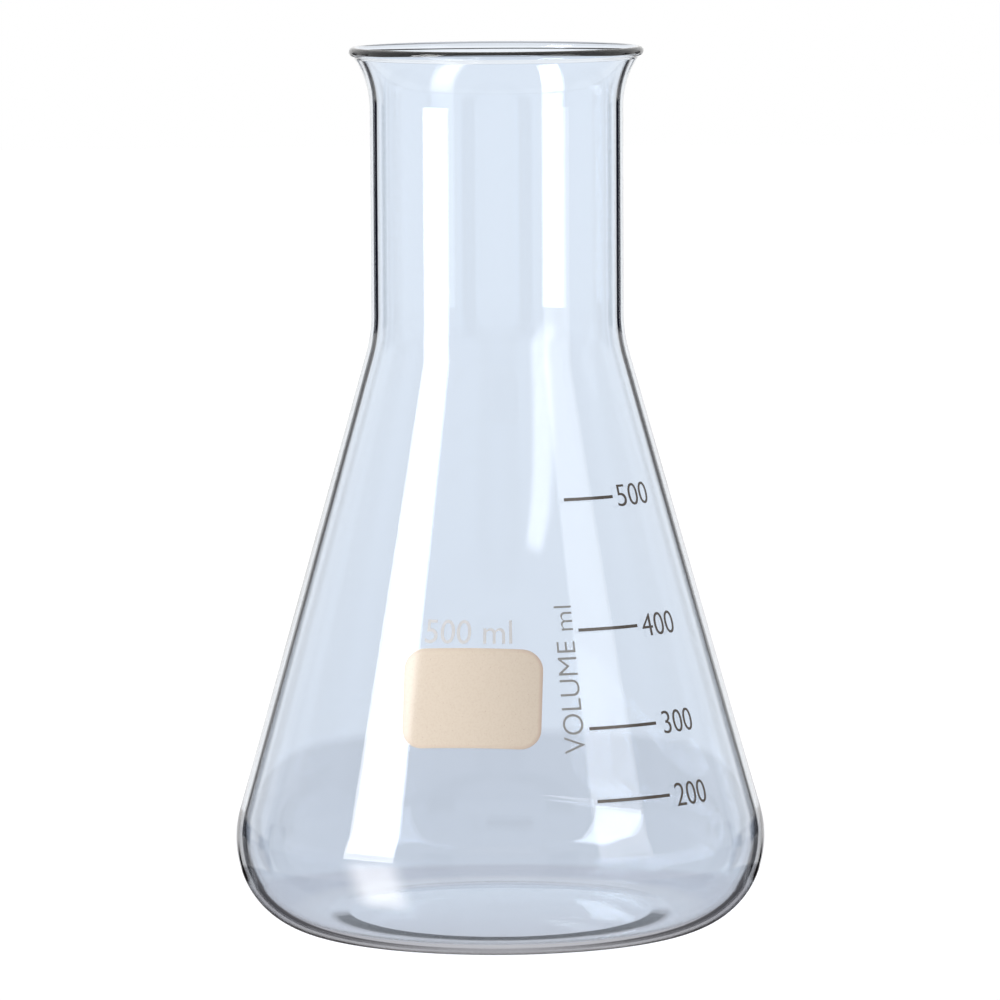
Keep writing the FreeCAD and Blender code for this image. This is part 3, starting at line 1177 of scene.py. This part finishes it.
@dataclass(frozen=True)
class Surroundings:
    """The white room: plain white to the camera, and with its dark cards in glass and gloss.

    Attributes:
        white: the room's colour.
        low_white: its colour low down, through the glass.
        card: the colour of the dark cards.
        side_card_share: how dark the cards are that stand beside and before the flask.
        fill: how bright the room is to a matt surface.
        low_rise: the rise at which the room has its low colour.
        high_rise: the rise from which it is plain white.
    """

    white: tuple[float, float, float, float] = (1.0, 1.0, 1.0, 1.0)
    low_white: tuple[float, float, float, float] = (0.88, 0.885, 0.90, 1.0)
    card: tuple[float, float, float, float] = (0.004, 0.004, 0.010, 1.0)
    side_card_share: float = 0.65
    fill: float = 0.27
    low_rise: float = -10.0
    high_rise: float = -2.5

    def build(self) -> None:
        """Makes the world."""
        world = bpy.data.worlds.new("white_room")
        world.use_nodes = True
        world.node_tree.nodes.clear()
        bpy.context.scene.world = world
        bench = NodeBench(world.node_tree)
        way = bench.put("ShaderNodeTexCoord").outputs["Generated"]
        cards = bench.put("ShaderNodeGroup", node_tree=DarkCards().make())
        bench.tree.links.new(way, cards.inputs["Direction"])
        path = bench.put("ShaderNodeLightPath").outputs
        height = bench.smooth_step(cards.outputs["Rise"], self.low_rise, self.high_rise)
        backdrop = bench.blend(height, self.low_white, self.white)
        side = bench.math("MULTIPLY", cards.outputs["Around"], self.side_card_share)
        through_mask = bench.math("MAXIMUM", cards.outputs["Behind"], side)
        through = bench.blend(through_mask, backdrop, self.card)
        mirrored = bench.blend(cards.outputs["Gloss"], self.white, self.card)
        colour = bench.blend(path["Is Glossy Ray"], self.white, mirrored)
        colour = bench.blend(path["Is Transmission Ray"], colour, through)
        seen = bench.math("MAXIMUM", path["Is Glossy Ray"], path["Is Transmission Ray"])
        shown = bench.math("MAXIMUM", seen, path["Is Camera Ray"])
        strength = bench.math("MULTIPLY_ADD", shown, 1.0 - self.fill, self.fill)
        room = bench.put("ShaderNodeBackground", {"Color": colour, "Strength": strength})
        bench.put("ShaderNodeOutputWorld", {"Surface": room.outputs[0]})


@dataclass(frozen=True)
class PaleFloor:
    """The pale polished table under the flask, which keeps the flask's shadow.

    Attributes:
        radius: how far the table reaches.
        drop: how far it lies under the foot.
        sides: how many sides its round edge has.
        foot_radius: where the painted shade under the foot ends, as seen through the glass.
        shade_radius: where the painted shade round the foot ends.
        foot_soft: half the width of those edges.
        near_radius: where the table's near part, greyer in glass, ends.
        near_soft: half the width of that edge.
        shadow_reach: how far out the flask's shadow shows to the camera.
        paint: the table's colour under the lamps.
        painted_foot_shade_tint: the tint of the room in the table under the foot, a painted shade.
        painted_ring_shade_tint: its tint round the foot, a darker painted shade.
        painted_gloss_shade_tint: its tint near the foot in the flask's gloss, a nearly black painted shade.
        painted_gloss_shade_radius: how far that painted shade reaches.
        near_tint: the tint of the room in the table's near part.
        clear: the tint of the room further out.
        near_glow: how the table glows to the camera near the flask.
        veil: the lit paint that it adds to that.
        painted_reflection: the colour of the lamp's image in the table, a painted reflection that glows.
        painted_reflection_strength: how bright that painted reflection glows.
        pool_from: the place from which it spreads.
        pool_bearing: the way that it spreads, in degrees from straight behind.
        pool_half: half its width in degrees.
        pool_soft: half the width of its soft sides.
        pool_start: how far out it starts to fade.
        pool_reach: how far out it ends.
    """

    radius: float = 3000.0
    drop: float = 0.05
    sides: int = 96
    foot_radius: float = 43.0
    shade_radius: float = 60.0
    foot_soft: float = 4.0
    near_radius: float = 300.0
    near_soft: float = 14.0
    shadow_reach: float = 260.0
    paint: tuple[float, float, float, float] = (0.82, 0.82, 0.83, 1.0)
    painted_foot_shade_tint: tuple[float, float, float, float] = (0.80, 0.76, 0.75, 1.0)
    painted_ring_shade_tint: tuple[float, float, float, float] = (0.70, 0.68, 0.70, 1.0)
    painted_gloss_shade_tint: tuple[float, float, float, float] = (0.15, 0.14, 0.14, 1.0)
    painted_gloss_shade_radius: float = 88.0
    near_tint: tuple[float, float, float, float] = (0.80, 0.80, 0.815, 1.0)
    clear: tuple[float, float, float, float] = (1.0, 1.0, 1.0, 1.0)
    near_glow: tuple[float, float, float, float] = (0.74, 0.74, 0.75, 1.0)
    veil: tuple[float, float, float, float] = (0.42, 0.42, 0.42, 1.0)
    painted_reflection: tuple[float, float, float, float] = (1.0, 0.93, 0.86, 1.0)
    painted_reflection_strength: float = 5.0
    pool_from: tuple[float, float, float] = (-5.3, -34.3, 0.0)
    pool_bearing: float = -122.0
    pool_half: float = 11.0
    pool_soft: float = 6.0
    pool_start: float = 60.0
    pool_reach: float = 430.0

    def build(self) -> None:
        """Makes the floor."""
        angle = np.arange(self.sides) * 2 * math.pi / self.sides
        rim = np.stack([np.cos(angle), np.sin(angle), 0 * angle], axis=1) * self.radius * MM
        rim[:, 2] = -self.drop * MM
        mesh = bpy.data.meshes.new("floor")
        mesh.from_pydata(rim.tolist(), [], [list(range(self.sides))])
        mesh.materials.append(self.paintwork())
        add_object("floor", mesh)

    def ring(self, bench: NodeBench, distance: bpy.types.NodeSocket, radius: float,
             soft: float) -> bpy.types.NodeSocket:
        """Places a soft step from 0 inside a radius to 1 outside it, both in millimetres."""
        return bench.smooth_step(distance, (radius - soft) * MM, (radius + soft) * MM)

    def paintwork(self) -> bpy.types.Material:
        """Builds the floor's finish.

        To the camera it glows nearly white and adds its own lit paint, so that only a shadow
        shows. In glass and gloss it is a polished top that tints the room behind it, with painted
        shade under and round the foot and a painted reflection of the left softbox.

        Returns:
            The material.
        """
        material = bpy.data.materials.new("pale_floor")
        material.use_nodes = True
        material.node_tree.nodes.clear()
        bench = NodeBench(material.node_tree)
        place = bench.put("ShaderNodeTexCoord").outputs["Object"]
        distance = bench.put("ShaderNodeVectorMath", {0: place}, operation="LENGTH").outputs["Value"]
        off_foot = self.ring(bench, distance, self.foot_radius, self.foot_soft)
        off_shade = self.ring(bench, distance, self.shade_radius, self.foot_soft)
        far = self.ring(bench, distance, self.near_radius, self.near_soft)
        open_floor = bench.smooth_step(distance, self.shadow_reach / 2 * MM, self.shadow_reach * MM)
        path = bench.put("ShaderNodeLightPath").outputs
        # Painted shade: in glass the table is tinted darker under the foot and darker still round it.
        tint = bench.blend(off_foot, self.painted_foot_shade_tint, self.painted_ring_shade_tint)
        tint = bench.blend(off_shade, tint, self.near_tint)
        # Painted shade: in the flask's gloss the table near the foot is tinted nearly black.
        gloss = bench.math("SUBTRACT", path["Is Glossy Ray"], path["Is Transmission Ray"])
        beside = self.ring(bench, distance, self.painted_gloss_shade_radius, -self.foot_soft)
        mirrored = bench.math("MULTIPLY", bench.math("MAXIMUM", gloss, 0.0), beside)
        tint = bench.blend(mirrored, tint, self.painted_gloss_shade_tint)
        tint = bench.blend(far, tint, self.clear)
        glow = bench.blend(open_floor, self.near_glow, self.clear)
        through = bench.math("MAXIMUM", path["Is Glossy Ray"], path["Is Transmission Ray"])
        # Painted reflection: in glass and gloss the table glows with an image of the left softbox.
        painted_reflection_area = bench.math("MULTIPLY", self.painted_reflection_mask(bench, place), off_shade)
        painted_reflection_strength = bench.math("MULTIPLY", painted_reflection_area, self.painted_reflection_strength)
        painted_reflection = bench.put("ShaderNodeEmission", {"Color": self.painted_reflection, "Strength": painted_reflection_strength}).outputs[0]
        paint = bench.put("ShaderNodeBsdfDiffuse", {"Color": self.paint}).outputs[0]
        veil = bench.put("ShaderNodeBsdfDiffuse", {"Color": self.veil}).outputs[0]
        white = bench.put("ShaderNodeEmission", {"Color": glow}).outputs[0]
        polish = bench.put("ShaderNodeBsdfTransparent", {"Color": tint}).outputs[0]
        shown = bench.put("ShaderNodeAddShader", {0: white, 1: veil}).outputs[0]
        seen = bench.put("ShaderNodeAddShader", {0: polish, 1: painted_reflection}).outputs[0]
        first = bench.put("ShaderNodeMixShader", {0: through, 1: paint, 2: seen}).outputs[0]
        last = {0: path["Is Camera Ray"], 1: first, 2: shown}
        whole = bench.put("ShaderNodeMixShader", last).outputs[0]
        bench.put("ShaderNodeOutputMaterial", {"Surface": whole})
        return material

    def painted_reflection_mask(self, bench: NodeBench, place: bpy.types.NodeSocket) -> bpy.types.NodeSocket:
        """Places the mask of the soft image of the left softbox in the polished table, a painted reflection
        that the table glows.

        It spreads from the foot towards the lamp and fades with the distance.

        Args:
            bench: the floor's bench.
            place: the place on the floor.

        Returns:
            The mask.
        """
        start = tuple(part * MM for part in self.pool_from)
        way = bench.put("ShaderNodeVectorMath", {0: place, 1: start}, operation="SUBTRACT").outputs[0]
        parts = bench.put("ShaderNodeSeparateXYZ", {0: way}).outputs
        turn = bench.math("DEGREES", bench.math("ARCTAN2", parts[0], parts[1]))
        aside = bench.math("ABSOLUTE", bench.math("SUBTRACT", turn, self.pool_bearing))
        outer = self.pool_half + self.pool_soft
        on_image = bench.smooth_step(aside, outer, self.pool_half - self.pool_soft)
        length = bench.put("ShaderNodeVectorMath", {0: way}, operation="LENGTH").outputs["Value"]
        fading = bench.smooth_step(length, self.pool_reach * MM, self.pool_start * MM)
        return bench.math("MULTIPLY", on_image, fading)


SOFT_BOXES = (
    SoftBox("left_softbox", -58.0, 24.0, 2.0, 1500.0, 7.5),
    SoftBox("right_softbox", 55.5, 25.0, 2.0, 1400.0, 1.7),
)


def main() -> None:
    """Builds the camera, the flask, its prints and the studio, in that order."""
    logging.basicConfig(level=logging.INFO, format="%(name)s: %(message)s")
    bpy.context.scene.view_settings.view_transform = "Standard"
    Viewpoint().build()
    wall = FlaskWall()
    wall.build()
    cone = PrintedCone(wall)
    MarkingField(cone).build()
    dark = FiredEnamel(
        "dark_fired_enamel", (0.075, 0.058, 0.047, 1.0), (0.11, 0.088, 0.072, 1.0), (0.16, 0.13, 0.11, 1.0)
    ).make()
    grey = FiredEnamel(
        "grey_fired_enamel", (0.31, 0.31, 0.31, 1.0), (0.37, 0.37, 0.37, 1.0), (0.43, 0.43, 0.43, 1.0)
    ).make()
    pale = FiredEnamel(
        "pale_fired_enamel", (0.66, 0.66, 0.67, 1.0), (0.62, 0.62, 0.63, 1.0), (0.55, 0.55, 0.56, 1.0)
    ).make()
    ScaleLines(cone).build(dark)
    numbers = (
        Caption("500", 43.4, 59.6, 86.3, 90.5, weight=-0.008),
        Caption("400", 43.2, 56.6, 61.4, 65.7, weight=-0.008),
        Caption("300", 43.7, 54.5, 42.8, 47.1, weight=-0.008),
        Caption("200", 43.2, 53.4, 29.0, 33.4, weight=-0.008),
    )
    Lettering(cone, "scale_numbers", numbers).build(dark, Slot.DARK)
    caption = Caption("VOLUME ml", 15.5, 20.7, 40.5, 68.3, upright=True, weight=-0.01)
    Lettering(cone, "scale_caption", (caption,)).build(grey, Slot.DARK)
    Lettering(cone, "capacity_text", (Caption("500 ml", -20.5, 3.5, 61.4, 65.9),)).build(pale, Slot.BEIGE)
    for box in SOFT_BOXES:
        box.build()
    Surroundings().build()
    PaleFloor().build()
    log.info("the studio stands")


if __name__ == "__main__":
    main()
